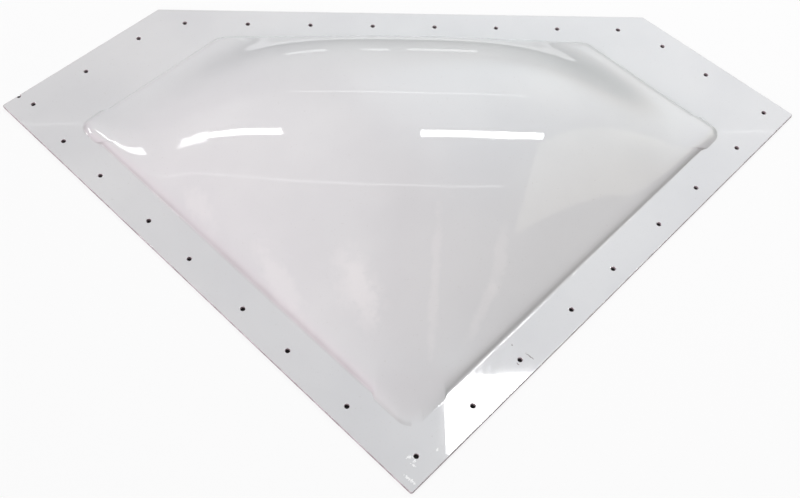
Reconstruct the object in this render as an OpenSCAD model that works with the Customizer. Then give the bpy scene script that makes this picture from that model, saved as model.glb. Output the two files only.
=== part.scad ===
// Neo-angle roof skylight: one sheet of white plastic, blown into a dome and left flat round its edge.
// Seen from above, the square point is at -Y, the front edge at +Y and a wing at each side.
// The underside of the flange is at Z = 0.

/* [Sheet] */
// Length of each of the two long edges, which meet at the point
long_edge = 645; // [600:1:700]
// Length of each of the two short edges, which join the wings to the front edge
short_edge = 221; // [205:1:240]
// Thickness of the sheet in its flange
sheet_t = 3.2; // [2.5:0.1:5]
// Thickness of the sheet at the crown, where blowing has thinned it
crown_t = 2.6; // [1.8:0.1:4]
// Radius of the sheet's sawn corners
sheet_corner_r = 2.5; // [2:0.5:6]

/* [Flange] */
// Width of the flange along the long edges
long_flange = 45.5; // [40:0.5:52]
// Width of the flange along the front edge
front_flange = 44.5; // [40:0.5:52]
// Width of the flange along the short edges
short_flange = 86.5; // [76:0.5:92]

/* [Dome] */
// Rise of the crown above the flange
dome_rise = 64; // [50:1:80]
// Distance over which the walls along the long edges level out
long_run = 334; // [300:1:360]
// Distance over which the wall along the front edge levels out
front_run = 520; // [480:1:560]
// Distance over which the walls along the short edges level out
short_run = 380; // [340:1:420]
// How quickly the long walls level out
long_power = 2.4; // [2:0.1:3]
// How quickly the front wall levels out
front_power = 9.2; // [7:0.1:11]
// How quickly the short walls level out
short_power = 15.6; // [13:0.1:18]
// Distance over which the long walls curve up from their foot
long_start = 10; // [4:1:16]
// Distance over which the short walls curve up from their foot
short_start = 83; // [60:1:100]
// Height of the steep foot all round the dome
foot_rise = 6.4; // [4:0.1:8]
// Distance over which the steep foot levels out
foot_spread = 3.7; // [3:0.1:6]
// Distance from the point's corner over which the steep foot grows to its full height
foot_growth = 60; // [40:1:90]
// Radius of the bend where the dome leaves the flange
bend_r = 4; // [2:0.5:6]

/* [Base corners] */
// Radius of the corners of the dome's base
base_corner_r = 17; // [12:1:20]
// How far the base swells out round the three square corners
swell = 3.5; // [0:0.5:5]
// Length of the swollen stretch from the corner at the point
point_swell = 44; // [30:1:55]
// Length of the swollen stretch from the corner at each wing
wing_swell = 28; // [24:1:40]
// Length over which a swollen stretch runs back into its straight side
swell_fade = 8; // [4:1:14]

/* [Screw holes] */
// Diameter of the screw holes
hole_d = 5; // [3:0.1:6]
// Number of holes along each long edge
long_count = 7; // [3:1:7]
// Number of holes along each short edge
short_count = 3; // [1:1:3]
// Number of holes along each half of the front edge
front_pairs = 4; // [2:1:4]
// Distance of the holes from the long edges
long_inset = 18.5; // [12:0.5:24]
// Distance of the holes from the front edge
front_inset = 22.5; // [12:0.5:26]
// Distance of the holes from the short edges
short_inset = 22.5; // [12:0.5:30]
// Distance from a wing's tip to the first hole along a long edge
long_first = 90; // [80:0.5:100]
// Pitch of the holes along the long edges
long_pitch = 75.2; // [70:0.1:77]
// Distance from a wing's tip to the first hole along a short edge
short_first = 26; // [22:0.5:32]
// Pitch of the holes along the short edges
short_pitch = 74; // [60:0.1:76]
// Pitch of the holes along the front edge
front_pitch = 75.8; // [60:0.1:76]
// Shift towards the point of every second hole on the right long edge
right_stagger = 5.5; // [-12:0.5:12]
// Shift towards the point of every second hole on the left long edge
left_stagger = -8.5; // [-12:0.5:12]
// Shift towards the front of the middle hole on the right short edge
right_middle = 9; // [-12:0.5:12]
// Shift towards the front of the middle hole on the left short edge
left_middle = -2; // [-12:0.5:12]
// Distance of the hole at the point from the tip of the sheet
point_hole_y = 36; // [32:0.5:40]
// Distance of that hole to the right of the centre line
point_hole_x = 5; // [-8:0.5:8]

/* [Edge nick] */
// Diameter of the nick in the left short edge
nick_d = 4.6; // [2:0.1:6]
// Depth of the nick from the edge
nick_depth = 3.4; // [1.5:0.1:5]
// Distance of the nick from the left wing's tip
nick_place = 21; // [14:0.5:60]

/* [Hidden] */

// Steps of the dome's mesh
arc_steps = 6;
fade_steps = 2;
long_steps = 10;
short_steps = 4;
front_steps = 11;
dome_steps = 18;
bend_steps = 3;
// A value above 1 draws the rings closer together towards the base
ring_bias = 1.8;
// Length of the corner stretch where the base doesn't swell
plain_stretch = 20;
// A higher value keeps the effect of the base's corners nearer to the base
corner_reach = 12;
// Share of a ray, from its end, over which the slope of the wall's foot is taken
foot_share = 0.01;
hole_fn = 32;

// Five sides, anticlockwise from the point: right long, right short, front, left short, left long
side_angle = [-45, 45, 90, 135, 225];
side_n = [for (a = side_angle) [cos(a), sin(a)]];
side_d = [for (a = side_angle) [-sin(a), cos(a)]];
side_steps = [long_steps, short_steps, front_steps, short_steps, long_steps];
last_side = len(side_angle) - 1;
diagonal = cos(45);
depth = (long_edge + short_edge) * diagonal;

// The rounded point stops short of the sharp one, and the origin lies halfway along what is left
tip_cut = sheet_corner_r * (1 / diagonal - 1);
front_y = (depth - tip_cut) / 2;
point_y = front_y - depth;

// Each side's distance from the origin, at the sheet's edge and at the dome's base
long_c = -point_y * diagonal;
short_c = long_edge - long_c;
edge_c = [long_c, short_c, front_y, short_c, long_c];
base_c = edge_c - [long_flange, short_flange, front_flange, short_flange, long_flange];
wall_run = [long_run, short_run, front_run, short_run, long_run];
wall_power = [long_power, short_power, front_power, short_power, long_power];
wall_start = [long_start, short_start, 0, short_start, long_start];

// Each corner's swell and the length of its stretch, in the order point, wing, front, front, wing
base_swell = [swell, swell, 0, 0, swell];
no_swell = [0, 0, 0, 0, 0];
stretch = [point_swell, wing_swell, plain_stretch, plain_stretch, wing_swell];

function before(i) = (i + last_side) % len(side_angle);
function after(i) = (i + 1) % len(side_angle);
function turn(i) = (side_angle[i] - side_angle[before(i)] + 360) % 360;
function ease(x) = x * x * (3 - 2 * x);

// The corner where side i meets the one before it
function corner(c, i) =
    let (m = side_n[before(i)], n = side_n[i], p = c[before(i)], q = c[i])
    [p * n.y - q * m.y, q * m.x - p * n.x] / (m.x * n.y - m.y * n.x);

// The way a corner moves when both of its sides move out by 1
function spread(i) = (side_n[before(i)] + side_n[i]) / (1 + side_n[before(i)] * side_n[i]);

// Points into, round and out of one corner
function corner_points(c, i, r, swells) =
    let (
        k = corner(c, i),
        h = before(i),
        arc_centre = k + spread(i) * (swells[i] - r),
        steps = [for (j = [0:fade_steps]) j / fade_steps]
    )
    concat(
        [for (f = steps)
            k - side_d[h] * (stretch[i] + swell_fade * (1 - f)) + side_n[h] * swells[i] * ease(f)],
        [for (j = [0:arc_steps])
            let (a = side_angle[h] + turn(i) * j / arc_steps)
            arc_centre + r * [cos(a), sin(a)]],
        [for (f = steps)
            k + side_d[i] * (stretch[i] + swell_fade * f) + side_n[i] * swells[i] * ease(1 - f)]
    );

// Points along the straight side from one corner's stretch to the next
function side_points(c, i) =
    let (
        start = corner(c, i) + side_d[i] * (stretch[i] + swell_fade),
        end = corner(c, after(i)) - side_d[i] * (stretch[after(i)] + swell_fade)
    )
    [for (j = [1:side_steps[i]]) start + (end - start) * j / (side_steps[i] + 1)];

function outline(c, r, swells) =
    [for (i = [0:last_side]) each concat(corner_points(c, i, r, swells), side_points(c, i))];

base = outline(base_c, base_corner_r, base_swell);
rim = outline(edge_c, sheet_corner_r, no_swell);
rays = len(base);

// The dome's height: each side's wall rises and levels out, and the five are multiplied,
// so that the corners stay low as they do in a blown sheet
function inside(p, i) = max(base_c[i] - side_n[i] * p, 0);
function wall(p, i) =
    let (share = (norm([inside(p, i), wall_start[i]]) - wall_start[i]) / wall_run[i])
    1 - pow(1 - min(share, 1), wall_power[i]);
function lift(p) = wall(p, 0) * wall(p, 1) * wall(p, 2) * wall(p, 3) * wall(p, 4);
middle = [0, (base_c[2] - base_c[0]) / (1 + diagonal)];
crown_lift = max([for (y = [middle.y:base_c[2]]) lift([0, y])]);

// The steep foot levels out within a short distance of every side, and is left out at the point
function step(p, i) = 1 - exp(-inside(p, i) / foot_spread);
function foot(p) =
    let (grown = (p.y - corner(base_c, 0).y) / foot_growth)
    foot_rise * ease(min(max(grown, 0), 1))
        * step(p, 0) * step(p, 1) * step(p, 2) * step(p, 3) * step(p, 4);

// Each ray runs from the middle to a point of the base. Near its end it is read
// as if it ran to the plain pentagon, so that the height falls to nothing at the base.
function ray(k) = base[k] - middle;
function plain_reach(v) =
    min([for (i = [0:last_side])
        if (side_n[i] * v > 0) (base_c[i] - side_n[i] * middle) / (side_n[i] * v)]);
reach = [for (k = [0:rays - 1]) plain_reach(ray(k))];
function height(k, t) =
    let (p = middle + ray(k) * t * (1 + (reach[k] - 1) * pow(t, corner_reach)))
    (dome_rise - foot_rise) * lift(p) / crown_lift + foot(p);

// The bend at the foot of each ray
foot_tilt = [for (k = [0:rays - 1]) atan(height(k, 1 - foot_share) / (foot_share * norm(ray(k))))];
foot_run = [for (a = foot_tilt) bend_r * tan(a / 2)];
foot_t = [for (k = [0:rays - 1]) 1 - foot_run[k] * cos(foot_tilt[k]) / norm(ray(k))];

function on_ray(k, t, z) = let (p = middle + ray(k) * t) [p.x, p.y, sheet_t + z];
function dome_point(k, j) =
    let (t = foot_t[k] * (1 - pow(1 - j / dome_steps, ring_bias)))
    on_ray(k, t, height(k, t));
function bend_point(k, j) =
    let (a = foot_tilt[k] * (1 - j / bend_steps))
    on_ray(k, 1 + (foot_run[k] - bend_r * sin(a)) / norm(ray(k)), bend_r * (1 - cos(a)));

// The upper skin, ring by ring from the middle out
upper = concat(
    [for (j = [0:dome_steps]) [for (k = [0:rays - 1]) dome_point(k, j)]],
    [for (j = [1:bend_steps]) [for (k = [0:rays - 1]) bend_point(k, j)]],
    [[for (p = rim) [p.x, p.y, sheet_t]]]
);
last_ring = len(upper) - 1;
flange_ring = last_ring - 1;

// The lower skin follows the upper one at the sheet's thickness
up = [0, 0, 1];
function normal(j, k) =
    let (
        along = upper[j + 1][k] - upper[j - 1][k],
        across = upper[j][(k + 1) % rays] - upper[j][(k + rays - 1) % rays],
        v = cross(along, across)
    )
    v / norm(v);
function thickness(p) = sheet_t - (sheet_t - crown_t) * (p.z - sheet_t) / dome_rise;
function under(j, k) =
    let (p = upper[j][k])
    p - thickness(p) * (j == 0 || j >= flange_ring ? up : normal(j, k));
lower = [for (j = [0:last_ring]) [for (k = [0:rays - 1]) under(j, k)]];

// Ring 0 is a single point, then each ring has one point for each ray
function skin_points(skin) = concat([skin[0][0]], [for (j = [1:last_ring]) each skin[j]]);
function at(j, k) = 1 + (j - 1) * rays + k % rays;
lower_first = 1 + last_ring * rays;
upper_faces = concat(
    [for (k = [0:rays - 1]) [0, at(1, k + 1), at(1, k)]],
    [for (j = [1:last_ring - 1], k = [0:rays - 1]) each [
        [at(j, k), at(j, k + 1), at(j + 1, k + 1)],
        [at(j, k), at(j + 1, k + 1), at(j + 1, k)]
    ]]
);
lower_faces = [for (f = upper_faces) [f[0] + lower_first, f[2] + lower_first, f[1] + lower_first]];
edge_faces = [for (k = [0:rays - 1])
    let (a = at(last_ring, k), b = at(last_ring, k + 1))
    each [[a, b, b + lower_first], [a, b + lower_first, a + lower_first]]];

// Hole places on one half: s is 1 for the right half and -1 for the left
wing_tip = corner(edge_c, 1);
function mirrored(p, s) = [s * p.x, p.y];
function from_wing(along_d, along, in_d, inset, s) =
    mirrored(wing_tip + along_d * along + in_d * inset, s);
function long_hole(i, s) =
    let (shift = i % 2 == 1 ? (s > 0 ? right_stagger : left_stagger) : 0)
    from_wing(-side_d[0], long_first + i * long_pitch + shift, -side_n[0], long_inset, s);
function short_hole(i, s) =
    let (shift = i == 1 ? (s > 0 ? right_middle : left_middle) : 0)
    from_wing(side_d[1], short_first + i * short_pitch + shift, -side_n[1], short_inset, s);
function front_hole(i, s) = [s * (i + 1 / 2) * front_pitch, front_y - front_inset];
holes = concat(
    [for (s = [1, -1], i = [0:long_count - 1]) long_hole(i, s)],
    [for (s = [1, -1], i = [0:short_count - 1]) short_hole(i, s)],
    [for (s = [1, -1], i = [0:front_pairs - 1]) front_hole(i, s)],
    [[point_hole_x, point_y + point_hole_y]]
);
nick = from_wing(side_d[1], nick_place, -side_n[1], nick_depth - nick_d / 2, -1);

// A round cutter right through the flange
module through_flange(p, d) {
    translate([p.x, p.y, -sheet_t])
        cylinder(d = d, h = 3 * sheet_t, $fn = hole_fn);
}

// The blown sheet, before it is drilled
module blown_sheet() {
    polyhedron(
        points = concat(skin_points(upper), skin_points(lower)),
        faces = concat(upper_faces, lower_faces, edge_faces)
    );
}

module skylight_dome() {
    color("whitesmoke")
        difference() {
            blown_sheet();
            for (p = holes) through_flange(p, hole_d);
            through_flange(nick, nick_d);
        }
}

skylight_dome();
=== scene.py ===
"""Looks of the neo-angle roof skylight: one blown sheet of glossy milky-white plastic."""

import math

import bpy
import numpy as np
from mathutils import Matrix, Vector
from mathutils.geometry import delaunay_2d_cdt


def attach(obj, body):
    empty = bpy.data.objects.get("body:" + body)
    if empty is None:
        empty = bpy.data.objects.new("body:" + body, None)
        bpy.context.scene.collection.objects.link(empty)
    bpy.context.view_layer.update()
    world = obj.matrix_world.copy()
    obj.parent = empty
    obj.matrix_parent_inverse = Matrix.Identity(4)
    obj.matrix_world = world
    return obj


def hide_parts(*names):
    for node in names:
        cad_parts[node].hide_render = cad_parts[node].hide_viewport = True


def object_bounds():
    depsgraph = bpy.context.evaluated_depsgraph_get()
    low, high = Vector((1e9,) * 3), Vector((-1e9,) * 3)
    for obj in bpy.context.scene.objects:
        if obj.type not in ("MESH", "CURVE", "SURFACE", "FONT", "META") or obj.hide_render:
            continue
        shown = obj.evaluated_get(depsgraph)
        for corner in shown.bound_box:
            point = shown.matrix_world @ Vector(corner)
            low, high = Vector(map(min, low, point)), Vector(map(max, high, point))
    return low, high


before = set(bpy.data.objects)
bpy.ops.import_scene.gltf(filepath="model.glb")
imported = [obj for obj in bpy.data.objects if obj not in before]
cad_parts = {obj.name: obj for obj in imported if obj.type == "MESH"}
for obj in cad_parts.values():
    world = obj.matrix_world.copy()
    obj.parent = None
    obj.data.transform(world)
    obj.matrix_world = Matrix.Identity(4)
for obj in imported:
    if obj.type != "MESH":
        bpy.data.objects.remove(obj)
cad_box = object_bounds()
MM = 0.001

# Sizes of the sheet and dome in millimetres, as in the part's source
LONG_EDGE = 645
SHORT_EDGE = 221
SHEET_T = 3.2
CROWN_T = 2.6
SHEET_CORNER_R = 2.5
LONG_FLANGE = 45.5
FRONT_FLANGE = 44.5
SHORT_FLANGE = 86.5
# The dome rises to the top of the frame
DOME_RISE = cad_box[1][2] / MM - SHEET_T
WALL_RUN = np.array([334, 380, 520, 380, 334])
WALL_POWER = np.array([2.4, 15.6, 9.2, 15.6, 2.4])
WALL_START = np.array([10, 83, 0, 83, 10])
FOOT_RISE = 6.4
FOOT_SPREAD = 3.7
FOOT_GROWTH = 60
BEND_R = 4
BASE_CORNER_R = 17
SWELL = 3.5
STRETCH = np.array([44, 28, 20, 20, 28])
SWELL_FADE = 8
HOLE_R = 2.5
LONG_INSET = 18.5
FRONT_INSET = 22.5
SHORT_INSET = 22.5
LONG_FIRST = 90
LONG_PITCH = 75.2
SHORT_FIRST = 26
SHORT_PITCH = 74
FRONT_PITCH = 75.8
STAGGER = {1: 5.5, -1: -8.5}
MIDDLE_SHIFT = {1: 9, -1: -2}
POINT_HOLE = (5, 36)
NICK_R = 2.3
NICK_DEPTH = 3.4
NICK_PLACE = 21

# Finer steps than the source has
ARC_STEPS = 14
FADE_STEPS = 6
SIDE_STEPS = [56, 22, 56, 22, 56]
DOME_STEPS = 72
BEND_STEPS = 6
BEVEL_STEPS = 3
HOLE_STEPS = 40
NICK_STEPS = 12
# The rings crowd towards the foot by this power
RING_BIAS = 1.9
# The swollen corners are drawn in close to the base by this power
CORNER_REACH = 40
# Share of a ray over which the foot's tilt is read
FOOT_SHARE = 0.01
# Rounded edges, and the flat margin beside them that keeps the shading flat
EDGE_BEVEL = 0.5
HOLE_BEVEL = 0.3
SUPPORT = 0.9
TINY = 1e-9

SIDE_ANGLE = np.radians([-45, 45, 90, 135, 225])
SIDE_N = np.stack([np.cos(SIDE_ANGLE), np.sin(SIDE_ANGLE)], 1)
SIDE_D = np.stack([-np.sin(SIDE_ANGLE), np.cos(SIDE_ANGLE)], 1)
SIDES = len(SIDE_ANGLE)
DIAGONAL = math.cos(math.pi / 4)
DEPTH = (LONG_EDGE + SHORT_EDGE) * DIAGONAL
TIP_CUT = SHEET_CORNER_R * (1 / DIAGONAL - 1)
FRONT_Y = (DEPTH - TIP_CUT) / 2
POINT_Y = FRONT_Y - DEPTH
LONG_C = -POINT_Y * DIAGONAL
SHORT_C = LONG_EDGE - LONG_C
EDGE_C = np.array([LONG_C, SHORT_C, FRONT_Y, SHORT_C, LONG_C])
BASE_C = EDGE_C - np.array([LONG_FLANGE, SHORT_FLANGE, FRONT_FLANGE, SHORT_FLANGE, LONG_FLANGE])
BASE_SWELL = np.array([SWELL, SWELL, 0, 0, SWELL])
NO_SWELL = np.zeros(SIDES)


def corner(c, i):
    """The corner where side i meets the one before it."""
    return np.linalg.solve(np.array([SIDE_N[i - 1], SIDE_N[i]]), np.array([c[i - 1], c[i]]))


def ease(x):
    return x * x * (3 - 2 * x)


def nick_points(inset):
    """The half-round nick in the left short edge, drawn inset mm inside the sheet's edge."""
    depth = NICK_DEPTH - NICK_R
    centre = corner(EDGE_C, 4) - SIDE_D[3] * NICK_PLACE - SIDE_N[3] * depth
    start = math.acos((depth - inset) / (NICK_R + inset))
    turns = np.linspace(-start, start - 2 * math.pi, NICK_STEPS)
    r = NICK_R + inset
    return [centre + r * (SIDE_N[3] * math.cos(a) + SIDE_D[3] * math.sin(a)) for a in turns]


def outline(c, r, swells, nick_inset=None):
    """Points round the five sides, with rounded corners that may swell out."""
    points = []
    for i in range(SIDES):
        k = corner(c, i)
        before, after = i - 1, (i + 1) % SIDES
        spread = (SIDE_N[before] + SIDE_N[i]) / (1 + SIDE_N[before] @ SIDE_N[i])
        turn = (SIDE_ANGLE[i] - SIDE_ANGLE[before]) % (2 * math.pi)
        for f in np.linspace(0, 1, FADE_STEPS):
            along = STRETCH[i] + SWELL_FADE * (1 - f)
            points.append(k - SIDE_D[before] * along + SIDE_N[before] * swells[i] * ease(f))
        if nick_inset is not None and i == 4:
            points.extend(nick_points(nick_inset))
        for a in SIDE_ANGLE[before] + turn * np.linspace(0, 1, ARC_STEPS + 1):
            points.append(k + spread * (swells[i] - r) + r * np.array([math.cos(a), math.sin(a)]))
        for f in np.linspace(0, 1, FADE_STEPS):
            along = STRETCH[i] + SWELL_FADE * f
            points.append(k + SIDE_D[i] * along + SIDE_N[i] * swells[i] * ease(1 - f))
        start = k + SIDE_D[i] * (STRETCH[i] + SWELL_FADE)
        end = corner(c, after) - SIDE_D[i] * (STRETCH[after] + SWELL_FADE)
        steps = np.arange(1, SIDE_STEPS[i] + 1) / (SIDE_STEPS[i] + 1)
        points.extend(start + (end - start) * s for s in steps)
    return np.array(points)


# The dome's rays start from a point that lies as far from the long sides as from the front
MIDDLE = np.array([0, (BASE_C[2] - BASE_C[0]) / (1 + DIAGONAL)])


def lift(p):
    """The product of the five walls' rises, before it is scaled to the dome's height."""
    gaps = np.maximum(BASE_C - p @ SIDE_N.T, 0)
    share = np.minimum((np.hypot(gaps, WALL_START) - WALL_START) / WALL_RUN, 1)
    return np.prod(1 - (1 - share) ** WALL_POWER, axis=-1)


def foot(p):
    """The steep foot round the dome, which is left out at the point."""
    steps = 1 - np.exp(-np.maximum(BASE_C - p @ SIDE_N.T, 0) / FOOT_SPREAD)
    grown = np.clip((p[..., 1] - corner(BASE_C, 0)[1]) / FOOT_GROWTH, 0, 1)
    return FOOT_RISE * ease(grown) * np.prod(steps, axis=-1)


spine = np.arange(MIDDLE[1], BASE_C[2], 0.5)
CROWN_LIFT = lift(np.stack([np.zeros_like(spine), spine], 1)).max()
base = outline(BASE_C, BASE_CORNER_R, BASE_SWELL)
RAY = base - MIDDLE
RAY_LENGTH = np.linalg.norm(RAY, axis=1)
facing = RAY @ SIDE_N.T
to_side = (BASE_C - SIDE_N @ MIDDLE) / np.maximum(facing, TINY)
REACH = np.where(facing > TINY, to_side, np.inf).min(1)


def height(t):
    """The dome's height above the flange at the share t of every ray."""
    t = np.broadcast_to(t, RAY_LENGTH.shape)
    read = t * (1 + (REACH - 1) * t ** CORNER_REACH)
    p = MIDDLE + RAY * read[:, None]
    return (DOME_RISE - FOOT_RISE) * lift(p) / CROWN_LIFT + foot(p)


def on_ray(t, z):
    """Points at the share t of every ray and the height z above the flange."""
    t = np.broadcast_to(t, RAY_LENGTH.shape)
    xy = MIDDLE + RAY * t[:, None]
    return np.column_stack([xy, SHEET_T + np.broadcast_to(z, RAY_LENGTH.shape)])


foot_tilt = np.arctan(height(1 - FOOT_SHARE) / (FOOT_SHARE * RAY_LENGTH))
foot_run = BEND_R * np.tan(foot_tilt / 2)
foot_t = 1 - foot_run * np.cos(foot_tilt) / RAY_LENGTH
upper = []
for j in range(DOME_STEPS + 1):
    t = foot_t * (1 - (1 - j / DOME_STEPS) ** RING_BIAS)
    upper.append(on_ray(t, height(t)))
for j in range(1, BEND_STEPS + 1):
    a = foot_tilt * (1 - j / BEND_STEPS)
    upper.append(on_ray(1 + (foot_run - BEND_R * np.sin(a)) / RAY_LENGTH, BEND_R * (1 - np.cos(a))))
flange_t = 1 + foot_run / RAY_LENGTH
upper.append(on_ray(flange_t + SUPPORT / RAY_LENGTH, 0))
upper = np.array(upper)

# The lower skin lies under the upper one at the sheet's thickness
along = np.zeros_like(upper)
along[1:-1] = upper[2:] - upper[:-2]
across = np.roll(upper, -1, 1) - np.roll(upper, 1, 1)
normal = np.cross(along, across)
length = np.linalg.norm(normal, axis=2, keepdims=True)
normal = normal / np.where(length > 0, length, 1)
normal[0] = normal[-2:] = (0, 0, 1)
thickness = SHEET_T - (SHEET_T - CROWN_T) * (upper[:, :, 2:] - SHEET_T) / DOME_RISE
lower = upper - thickness * normal


class Builder:
    """Collects the points and faces of one mesh."""

    def __init__(self):
        self.points = []
        self.faces = []
        self.materials = []

    def loop(self, points):
        first = len(self.points)
        self.points.extend(tuple(p) for p in points)
        return list(range(first, len(self.points)))

    def face(self, corners, material):
        self.faces.append(corners)
        self.materials.append(material)

    def band(self, a, b, material, flip=False):
        """Faces between two closed loops of the same length."""
        for k in range(len(a)):
            n = (k + 1) % len(a)
            quad = [a[k], b[k], b[n], a[n]]
            self.face(quad[::-1] if flip else quad, material)

    def cap(self, ring, centre, material, flip=False):
        for k in range(len(ring)):
            tri = [centre, ring[k], ring[(k + 1) % len(ring)]]
            self.face(tri[::-1] if flip else tri, material)


def flat(points, z):
    return np.column_stack([points, np.full(len(points), z)])


def inside(points, polygon):
    """Which of the points lie inside the polygon, by counting crossings."""
    x, y = points[:, :1], points[:, 1:]
    x0, y0 = polygon.T
    x1, y1 = np.roll(polygon, -1, 0).T
    crosses = (y0 > y) != (y1 > y)
    with np.errstate(divide="ignore", invalid="ignore"):
        at = x0 + (y - y0) * (x1 - x0) / (y1 - y0)
    return (crosses & (x < at)).sum(1) % 2 == 1


# Hole places, on the right half (s = 1) and the left half (s = -1)
WING_TIP = corner(EDGE_C, 1)


def from_wing(along_d, run, in_d, inset, s):
    return (WING_TIP + along_d * run + in_d * inset) * (s, 1)


holes = []
for s in (1, -1):
    for i in range(7):
        run = LONG_FIRST + i * LONG_PITCH + (STAGGER[s] if i % 2 else 0)
        holes.append(from_wing(-SIDE_D[0], run, -SIDE_N[0], LONG_INSET, s))
    for i in range(3):
        run = SHORT_FIRST + i * SHORT_PITCH + (MIDDLE_SHIFT[s] if i == 1 else 0)
        holes.append(from_wing(SIDE_D[1], run, -SIDE_N[1], SHORT_INSET, s))
    for i in range(4):
        holes.append(np.array([s * (i + 0.5) * FRONT_PITCH, FRONT_Y - FRONT_INSET]))
holes.append(np.array([POINT_HOLE[0], POINT_Y + POINT_HOLE[1]]))
circle = np.linspace(0, 2 * math.pi, HOLE_STEPS, endpoint=False)
circle = np.stack([np.cos(circle), np.sin(circle)], 1)


def bevel_profile(bevel):
    """Pairs of inset and drop, from the flat face round to the upright wall."""
    turns = np.linspace(0, math.pi / 2, BEVEL_STEPS + 1)
    return [(bevel * (1 - math.sin(a)), bevel * (1 - math.cos(a))) for a in turns]


SKIN, EDGE = 0, 1
b = Builder()
top_rings = [b.loop(ring) for ring in upper[1:]]
low_rings = [b.loop(ring) for ring in lower[1:]]
b.cap(top_rings[0], b.loop([upper[0, 0]])[0], SKIN)
b.cap(low_rings[0], b.loop([lower[0, 0]])[0], SKIN, flip=True)
for a, c in zip(top_rings, top_rings[1:]):
    b.band(a, c, SKIN)
for a, c in zip(low_rings, low_rings[1:]):
    b.band(a, c, SKIN, flip=True)

# Loops of the sheet's edge, from the flat upper face round to the flat lower face
sheet_loops = [(SUPPORT, SHEET_T, SKIN)]
for inset, drop in bevel_profile(EDGE_BEVEL):
    sheet_loops.append((inset, SHEET_T - drop, EDGE))
for inset, drop in bevel_profile(EDGE_BEVEL)[::-1]:
    sheet_loops.append((inset, drop, EDGE))
sheet_loops.append((SUPPORT, 0, SKIN))
rim = []
for inset, z, _ in sheet_loops:
    points = outline(EDGE_C - inset, SHEET_CORNER_R - inset, NO_SWELL, nick_inset=inset)
    rim.append(b.loop(flat(points, z)))
for n in range(len(rim) - 1):
    b.band(rim[n], rim[n + 1], min(sheet_loops[n][2], sheet_loops[n + 1][2]))

# Loops of each hole, in the same order
hole_loops = []
for place in holes:
    loops = [b.loop(flat(place + circle * (HOLE_R + SUPPORT), SHEET_T))]
    for inset, drop in bevel_profile(HOLE_BEVEL):
        loops.append(b.loop(flat(place + circle * (HOLE_R + inset), SHEET_T - drop)))
    for inset, drop in bevel_profile(HOLE_BEVEL)[::-1]:
        loops.append(b.loop(flat(place + circle * (HOLE_R + inset), drop)))
    loops.append(b.loop(flat(place + circle * (HOLE_R + SUPPORT), 0)))
    for n in range(len(loops) - 1):
        skin = n == 0 or n == len(loops) - 2
        b.band(loops[n], loops[n + 1], SKIN if skin else EDGE, flip=True)
    hole_loops.append((loops[0], loops[-1]))


# Points closer than this count as one, and this share of the margin counts as inside a hole
WELD = 1e-6
WITHIN = 0.98


def fill_flange(inner, outer, drilled, flip):
    """Triangles of one flat face of the flange, from the dome's foot to the sheet's edge."""
    loops = [outer, inner] + drilled
    ids = [k for loop in loops for k in loop]
    flat_points = np.array([b.points[k][:2] for k in ids])
    edges = []
    first = 0
    for loop in loops:
        edges.extend((first + k, first + (k + 1) % len(loop)) for k in range(len(loop)))
        first += len(loop)
    found = delaunay_2d_cdt([Vector(p) for p in flat_points], edges, [], 0, WELD, True)
    places = np.array(found[0])
    tris = np.array(found[2])
    back = [ids[group[0]] for group in found[3]]
    centres = places[tris].mean(1)
    keep = inside(centres, flat_points[:len(outer)])
    keep &= ~inside(centres, flat_points[len(outer):len(outer) + len(inner)])
    for place in holes:
        keep &= np.linalg.norm(centres - place, axis=1) > HOLE_R + SUPPORT * WITHIN
    for tri in tris[keep]:
        corners = [back[k] for k in tri]
        b.face(corners[::-1] if flip else corners, SKIN)


fill_flange(top_rings[-1], rim[0], [h[0] for h in hole_loops], False)
fill_flange(low_rings[-1], rim[-1], [h[1] for h in hole_loops], True)


# The noise that tears a mark's rim runs between these levels
TORN_LOW = 0.35
TORN_HIGH = 0.65


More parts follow.
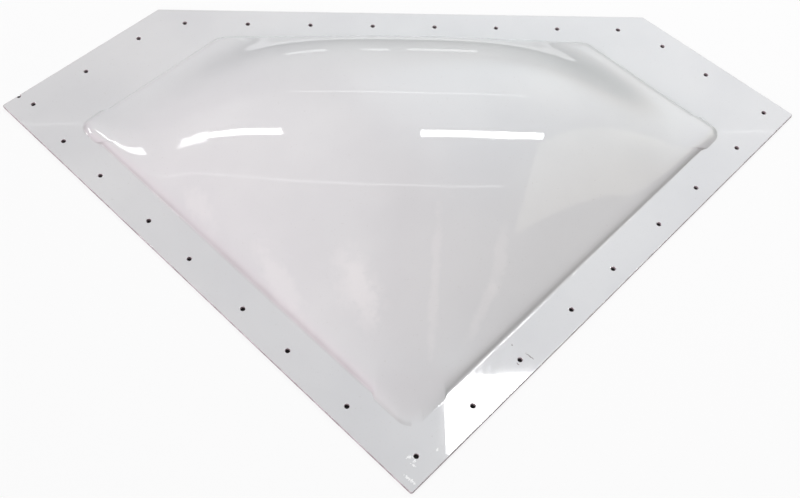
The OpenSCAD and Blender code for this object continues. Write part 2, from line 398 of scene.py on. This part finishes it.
class Shader:
    """Short calls for the nodes of one material."""

    def __init__(self, name):
        self.material = bpy.data.materials.new(name)
        self.material.use_nodes = True
        self.tree = self.material.node_tree
        self.bsdf = self.tree.nodes["Principled BSDF"]
        self.output = self.tree.nodes["Material Output"]
        self.place = self.tree.nodes.new("ShaderNodeTexCoord").outputs["Object"]

    def node(self, kind, inputs=None, **settings):
        made = self.tree.nodes.new(kind)
        for key, value in settings.items():
            setattr(made, key, value)
        for key, value in (inputs or {}).items():
            self.put(made.inputs[key], value)
        return made

    def put(self, socket, value):
        if isinstance(value, bpy.types.NodeSocket):
            self.tree.links.new(value, socket)
        else:
            socket.default_value = value

    def noise(self, scale, detail=2, roughness=0.5, place=None):
        made = self.node("ShaderNodeTexNoise", {
            "Vector": place or self.place, "Scale": scale, "Detail": detail, "Roughness": roughness})
        return made.outputs["Fac"]

    def stretched(self, scale, turn=(0, 0, 0)):
        made = self.node("ShaderNodeMapping", {"Vector": self.place, "Scale": scale, "Rotation": turn})
        return made.outputs["Vector"]

    def step(self, value, low, high, to_low=0.0, to_high=1.0):
        made = self.node("ShaderNodeMapRange", {
            "Value": value, "From Min": low, "From Max": high, "To Min": to_low, "To Max": to_high},
            interpolation_type="SMOOTHSTEP")
        return made.outputs["Result"]

    def mark(self, x, y, long_half, wide_half, turn, ragged, tear, soft, strength):
        """A ragged oval mark on the sheet, in millimetres and degrees."""
        moved = self.node("ShaderNodeMapping", {
            "Vector": self.place, "Location": (x * MM, y * MM, SHEET_T * MM),
            "Rotation": (0, 0, math.radians(turn)), "Scale": (long_half * MM, wide_half * MM, 1)},
            vector_type="TEXTURE")
        far = self.node("ShaderNodeVectorMath", {0: moved.outputs["Vector"]}, operation="LENGTH")
        rim = self.step(ragged, TORN_LOW, TORN_HIGH, -tear, tear)
        torn = self.math("ADD", far.outputs["Value"], rim)
        return self.step(torn, 1.0 + soft, 1.0 - soft, 0.0, strength)

    def math(self, operation, a, c=0.0):
        made = self.node("ShaderNodeMath", {0: a, 1: c}, operation=operation)
        return made.outputs[0]

    def mix(self, share, a, c):
        made = self.node("ShaderNodeMix", data_type="RGBA")
        self.put(made.inputs["Factor"], share)
        self.put(made.inputs["A"], a)
        self.put(made.inputs["B"], c)
        return made.outputs["Result"]


# Colours
MILK_DARK = (0.66, 0.66, 0.665, 1)
MILK_PALE = (0.70, 0.70, 0.70, 1)
DUST = (0.52, 0.50, 0.47, 1)
# Painted shade for the groove round the dome's foot
GROOVE_SHADE = (0.40, 0.385, 0.38, 1)
CHIP = (0.95, 0.95, 0.94, 1)
SCRATCH = (0.30, 0.27, 0.26, 1)
STREAK = (0.90, 0.87, 0.86, 1)
# Painted shade: the sawn edge faces get tones darker than the milky plastic
SAWN_SHADE_DARK = (0.36, 0.29, 0.31, 1)
SAWN_SHADE_PALE = (0.58, 0.52, 0.54, 1)
FLOOR_PALE = (0.75, 0.75, 0.75, 1)
# Painted shade seen through the screw holes and the nick
HOLE_SHADE_DARK = (0.02, 0.02, 0.02, 1)
WHITE = (1, 1, 1, 1)
PLASTIC_IOR = 1.5

# The sheet waves a little, and its flange curls up towards the point
WAVE_HEIGHT = 0.00012
CURL_FROM_Y = -0.138
CURL_RATE = 0.19
# Painted shade in the groove round the dome's foot, strongest along the left foot, in millimetres inside
# its base
GROOVE_MIDDLE = 1.2
GROOVE_WIDTH = 2.8
SIDE_SHADE = np.array([0, 0.35, 0.2, 0.35, 1])
# Marks of wear: place, half length and half width in millimetres, and turn in degrees
CHIPS = [(-1.2, -271.4, 2.4, 1.2, 15), (3.4, -275.2, 1.6, 1.0, 60), (2.0, -279.6, 2.2, 0.8, -40),
         (-3.4, -291.5, 3.6, 1.1, -45), (1.0, -295.0, 2.6, 1.0, -45), (24.5, -264.5, 1.5, 0.8, 60)]
STREAKS = [(26, -97, 64, 4.5, -94), (92, -73, 28, 7, -102), (73, -122, 30, 5, -116),
           (-52, -98, 39, 17, -67), (-47, -104, 25, 9, -66), (-129, -89, 41, 9, -60), (-219, 2, 24, 9, -60)]
SCRATCHES = [(119.2, -166.8, 3.4, 0.5, -43), (107.1, -175.6, 1.6, 0.5, -50),
             (102.7, -154.6, 0.8, 0.8, 0)]


def white_plastic():
    s = Shader("white_plastic")
    cloud = s.noise(7.0, 3, 0.55)
    dust = s.noise(420.0, 2, 0.6)
    hairs = s.noise(60.0, 3, 0.6, s.stretched((1.0, 22.0, 1.0), (0, 0, 0.6)))
    smear = s.noise(30.0, 3, 0.6, s.stretched((6.0, 1.0, 1.0), (0, 0, -0.4)))
    colour = s.mix(s.step(cloud, 0.3, 0.7), MILK_DARK, MILK_PALE)
    colour = s.mix(s.step(dust, 0.66, 0.74, 0, 0.25), colour, DUST)
    # Painted shade in the groove round the dome's foot, broken up by noise
    groove = s.node("ShaderNodeAttribute", attribute_name="groove").outputs["Fac"]
    groove = s.math("MULTIPLY", groove, s.step(s.noise(35.0, 2, 0.5), 0.2, 0.8, 0.22, 0.42))
    colour = s.mix(groove, colour, GROOVE_SHADE)
    fine, coarse = s.noise(650.0, 2, 0.6), s.noise(55.0, 3, 0.6)
    for marks, ragged, tear, soft, strength, shade in (
            (CHIPS, fine, 0.7, 0.2, 1.0, CHIP),
            (SCRATCHES, fine, 0.7, 0.2, 1.0, SCRATCH),
            (STREAKS, coarse, 0.3, 0.6, 0.2, STREAK)):
        for x, y, long_half, wide_half, turn in marks:
            share = s.mark(x, y, long_half, wide_half, turn, ragged, tear, soft, strength)
            colour = s.mix(share, colour, shade)
    s.put(s.bsdf.inputs["Base Color"], colour)
    rough = s.math("ADD", s.step(smear, 0.4, 0.75, 0.02, 0.05), s.step(hairs, 0.62, 0.72, 0.0, 0.05))
    s.put(s.bsdf.inputs["Roughness"], rough)
    s.put(s.bsdf.inputs["IOR"], PLASTIC_IOR)
    wave = s.math("MULTIPLY", s.noise(14.0, 1, 0.4), WAVE_HEIGHT)
    y = s.node("ShaderNodeSeparateXYZ", {0: s.place}).outputs["Y"]
    past = s.math("MAXIMUM", s.math("SUBTRACT", CURL_FROM_Y, y), 0.0)
    curl = s.math("MULTIPLY", s.math("POWER", past, 2.0), CURL_RATE)
    relief = s.math("ADD", wave, curl)
    bump = s.node("ShaderNodeBump", {"Strength": 1.0, "Distance": 1.0, "Height": relief})
    s.put(s.bsdf.inputs["Normal"], bump.outputs["Normal"])
    return s.material


def sawn_edge():
    s = Shader("sawn_edge")
    painted_shade = s.noise(90.0, 3, 0.6)
    saw = s.noise(40.0, 2, 0.5, s.stretched((1.0, 1.0, 40.0)))
    # The sawn faces are darkened as painted shade, mottled by noise
    colour = s.mix(s.step(painted_shade, 0.35, 0.65), SAWN_SHADE_DARK, SAWN_SHADE_PALE)
    s.put(s.bsdf.inputs["Base Color"], colour)
    s.put(s.bsdf.inputs["Roughness"], s.step(saw, 0.3, 0.7, 0.45, 0.65))
    s.put(s.bsdf.inputs["IOR"], PLASTIC_IOR)
    bump = s.node("ShaderNodeBump", {"Strength": 0.3, "Distance": 0.0003, "Height": saw})
    s.put(s.bsdf.inputs["Normal"], bump.outputs["Normal"])
    return s.material


# The blown sheet, as one mesh
mesh = bpy.data.meshes.new("blown_sheet")
mesh.from_pydata((np.array(b.points) * MM).tolist(), [], b.faces)
mesh.materials.append(white_plastic())
mesh.materials.append(sawn_edge())
mesh.polygons.foreach_set("material_index", b.materials)
mesh.polygons.foreach_set("use_smooth", [True] * len(mesh.polygons))
# How much painted shade lies at each point of the groove round the dome's foot
ring_xy = upper[1:-1, :, :2]
from_base = RAY_LENGTH - np.linalg.norm(ring_xy - MIDDLE, axis=2)
nearest_side = (BASE_C - base @ SIDE_N.T).argmin(1)
ring_shade = SIDE_SHADE[nearest_side] * np.exp(-((from_base - GROOVE_MIDDLE) / GROOVE_WIDTH) ** 2)
painted_shade = np.zeros(len(b.points), np.float32)
painted_shade[:ring_shade.size] = ring_shade.ravel()
mesh.attributes.new("groove", "FLOAT", "POINT").data.foreach_set("value", painted_shade)
mesh.validate()
sheet = bpy.data.objects.new("blown_sheet", mesh)
bpy.context.scene.collection.objects.link(sheet)
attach(sheet, "root")
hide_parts("skylight_dome")


# Share of plain white in what the camera sees of the floor
FLOOR_WHITE = 0.88


# Stage: a pale floor, and dark mats of painted shade that only show through the screw holes and the nick
def plate(name, points, z, material):
    made = bpy.data.meshes.new(name)
    made.from_pydata([(x, y, z) for x, y in points], [], [list(range(len(points)))])
    made.materials.append(material)
    placed = bpy.data.objects.new(name, made)
    bpy.context.scene.collection.objects.link(placed)


def floor_material():
    s = Shader("floor")
    s.put(s.bsdf.inputs["Base Color"], FLOOR_PALE)
    s.put(s.bsdf.inputs["Roughness"], 0.9)
    s.put(s.bsdf.inputs["Specular IOR Level"], 0.0)
    glow = s.node("ShaderNodeEmission", {"Color": WHITE, "Strength": 1.0})
    rays = s.node("ShaderNodeLightPath")
    share = s.math("MULTIPLY", rays.outputs["Is Camera Ray"], FLOOR_WHITE)
    mixed = s.node("ShaderNodeMixShader", {0: share, 1: s.bsdf.outputs[0], 2: glow.outputs[0]})
    s.put(s.output.inputs["Surface"], mixed.outputs[0])
    return s.material


def shade_mat_material():
    # A dark sheet of painted shade under the holes and the nick
    s = Shader("hole_shade_mat")
    s.put(s.bsdf.inputs["Base Color"], HOLE_SHADE_DARK)
    s.put(s.bsdf.inputs["Roughness"], 0.9)
    return s.material


# The floor is a table top that ends a little beyond the object's far edge, in metres
FLOOR_HALF = 8
FLOOR_FAR_Y = 0.36
FLOOR_Z = -0.0006
SHADE_MAT_Z = -0.0003
# The painted-shade mats lie this far inside the sheet's edge, and outside the nick's middle, in millimetres
SHADE_MAT_INSET = 8
NICK_SHADE_MAT_OUT = 1.4
floor_points = [(-FLOOR_HALF, -FLOOR_HALF), (FLOOR_HALF, -FLOOR_HALF),
                (FLOOR_HALF, FLOOR_FAR_Y), (-FLOOR_HALF, FLOOR_FAR_Y)]
plate("floor", floor_points, FLOOR_Z, floor_material())
shade_mat_points = [corner(EDGE_C - SHADE_MAT_INSET, i) * MM for i in range(SIDES)]
dark = shade_mat_material()
plate("hole_shade_mat", shade_mat_points, SHADE_MAT_Z, dark)
nick_in = NICK_DEPTH - NICK_R - NICK_SHADE_MAT_OUT
nick_centre = corner(EDGE_C, 4) - SIDE_D[3] * NICK_PLACE - SIDE_N[3] * nick_in
plate("nick_shade_mat", (nick_centre + circle * NICK_R) * MM, SHADE_MAT_Z, dark)

# Camera, as fitted to the photograph, in millimetres of lens, metres and degrees
LENS = 45.68
SENSOR_WIDTH = 36
SHIFT_X = -0.0290
SHIFT_Y = 0.0024
CAMERA_PLACE = (-0.03613, -0.62083, 0.89974)
CAMERA_TURN = (32.799, -2.533, -1.2926)
camera_data = bpy.data.cameras.new("camera")
camera_data.lens = LENS
camera_data.sensor_width = SENSOR_WIDTH
camera_data.shift_x = SHIFT_X
camera_data.shift_y = SHIFT_Y
camera = bpy.data.objects.new("camera", camera_data)
camera.location = CAMERA_PLACE
camera.rotation_euler = [math.radians(a) for a in CAMERA_TURN]
bpy.context.scene.collection.objects.link(camera)
bpy.context.scene.camera = camera


# Lamps, in metres
CEILING_Z = 4
FAR_WALL_Y = 6
# Glows of the room: bearing, elevation, inner and outer angle in degrees, and colour
GLOWS = [
    (-125, 24, 8, 55, (2.04, 1.79, 1.95)),
    (-165, 40, 8, 45, (0.15, 0.15, 0.1)),
    (30, 46, 6, 34, (0.8, 1.1, 1.25)),
    (42, 28, 4, 26, (1.1, 0.95, 0.86)),
    (-60, 60, 6, 27, (1.3, 1.34, 1.28))]
# Tubes on the ceiling: start and end in x, and y. They are brighter in the gloss than as lamps
TUBES = {"tubes_right": (0.36, 2.40, 1.855), "tubes_left": (-3.25, -1.85, 1.845)}
TUBE_LIGHT = 17
TUBE_LIGHT_WIDTH = 0.19
TUBE_LIGHT_ABOVE = 0.05
TUBE_SHINE = 30
TUBE_SHINE_WIDTH = 0.15
# Other strips on the ceiling: start and end in x, y, width and brightness
SEAM_FAR_Y = 3.44
STRIPS = {
    "tube_end": (-3.6, -3.1, 1.87, 0.42, 8),
    "seam_far_left": (-5.0, -2.3, SEAM_FAR_Y, 0.03, 6),
    "seam_left_tip": (-2.3, -1.75, SEAM_FAR_Y, 0.012, 3),
    "seam_right_tip": (2.1, 2.5, SEAM_FAR_Y, 0.012, 3),
    "seam_far": (-1.75, 2.1, SEAM_FAR_Y, 0.03, 7),
    "seam_near": (-3.8, 1.9, 0.95, 0.018, 3.2)}
# Windows in the far wall: start and end in x, and in height
WINDOWS = [(-1.5, -0.75, 0.7, 1.1), (-0.31, 0, 0.7, 1.1), (0.18, 1.0, 0.6, 1.0)]
WINDOW_LIGHT = 1.5


def area(name, place, aim, size_x, size_y, radiance, colour=(1, 1, 1)):
    """A rectangular lamp with the given brightness, turned to a point."""
    data = bpy.data.lights.new(name, "AREA")
    data.shape = "RECTANGLE"
    data.size = size_x
    data.size_y = size_y
    data.energy = radiance * math.pi * size_x * size_y
    data.color = colour
    lamp = bpy.data.objects.new(name, data)
    lamp.location = place
    lamp.rotation_euler = (Vector(aim) - Vector(place)).to_track_quat("-Z", "Y").to_euler()
    bpy.context.scene.collection.objects.link(lamp)
    return lamp


def soft_world(glows):
    """A dark room with soft round glows, which the camera sees as plain white."""
    world = bpy.data.worlds.new("world")
    bpy.context.scene.world = world
    world.use_nodes = True
    tree = world.node_tree
    way = tree.nodes.new("ShaderNodeTexCoord").outputs["Generated"]
    total = None
    for bearing, elevation, inner, outer, colour in glows:
        turn, rise = math.radians(bearing), math.radians(elevation)
        dot = tree.nodes.new("ShaderNodeVectorMath")
        dot.operation = "DOT_PRODUCT"
        tree.links.new(way, dot.inputs[0])
        dot.inputs[1].default_value = (
            math.cos(rise) * math.sin(turn), math.cos(rise) * math.cos(turn), math.sin(rise))
        share = tree.nodes.new("ShaderNodeMapRange")
        share.interpolation_type = "SMOOTHSTEP"
        tree.links.new(dot.outputs["Value"], share.inputs["Value"])
        share.inputs["From Min"].default_value = math.cos(math.radians(outer))
        share.inputs["From Max"].default_value = math.cos(math.radians(inner))
        glow = tree.nodes.new("ShaderNodeVectorMath")
        glow.operation = "SCALE"
        glow.inputs[0].default_value = colour
        tree.links.new(share.outputs["Result"], glow.inputs["Scale"])
        if total is None:
            total = glow.outputs["Vector"]
            continue
        added = tree.nodes.new("ShaderNodeVectorMath")
        tree.links.new(total, added.inputs[0])
        tree.links.new(glow.outputs["Vector"], added.inputs[1])
        total = added.outputs["Vector"]
    seen = tree.nodes.new("ShaderNodeLightPath").outputs["Is Camera Ray"]
    shown = tree.nodes.new("ShaderNodeMix")
    shown.data_type = "RGBA"
    tree.links.new(seen, shown.inputs["Factor"])
    tree.links.new(total, shown.inputs["A"])
    shown.inputs["B"].default_value = WHITE
    tree.links.new(shown.outputs["Result"], tree.nodes["Background"].inputs["Color"])


def ceiling_strip(name, x0, x1, y, width, radiance, raised=0.0):
    """A straight strip of light on the ceiling."""
    middle = (x0 + x1) / 2
    return area(name, (middle, y, CEILING_Z + raised), (middle, y, 0), x1 - x0, width, radiance)


soft_world(GLOWS)
key = area("overhead", (0.3, 0.75, 1.1), (0.3, 0.75, 0), 1.2, 1.2, 1.38)
key.visible_glossy = False
area("right_wall", (4, 1.85, 4.25), (0, 1.85, 4.25), 2.1, 5.5, 1.12, (1, 0.95, 0.74))
for name, tube in TUBES.items():
    light = ceiling_strip(name + "_light", *tube, TUBE_LIGHT_WIDTH, TUBE_LIGHT, TUBE_LIGHT_ABOVE)
    light.visible_glossy = False
    shine = ceiling_strip(name, *tube, TUBE_SHINE_WIDTH, TUBE_SHINE)
    shine.visible_diffuse = False
for name, strip in STRIPS.items():
    ceiling_strip(name, *strip)
left_wall = area("left_wall", (-4, 0.95, 2.2), (0, 0.95, 2.2), 1.3, 0.35, 14)
left_wall.visible_diffuse = False
for number, (x0, x1, z0, z1) in enumerate(WINDOWS):
    middle = ((x0 + x1) / 2, FAR_WALL_Y, (z0 + z1) / 2)
    area("window_%d" % number, middle, (0, 0, middle[2]), x1 - x0, z1 - z0, WINDOW_LIGHT)

bpy.context.scene.view_settings.view_transform = "Standard"
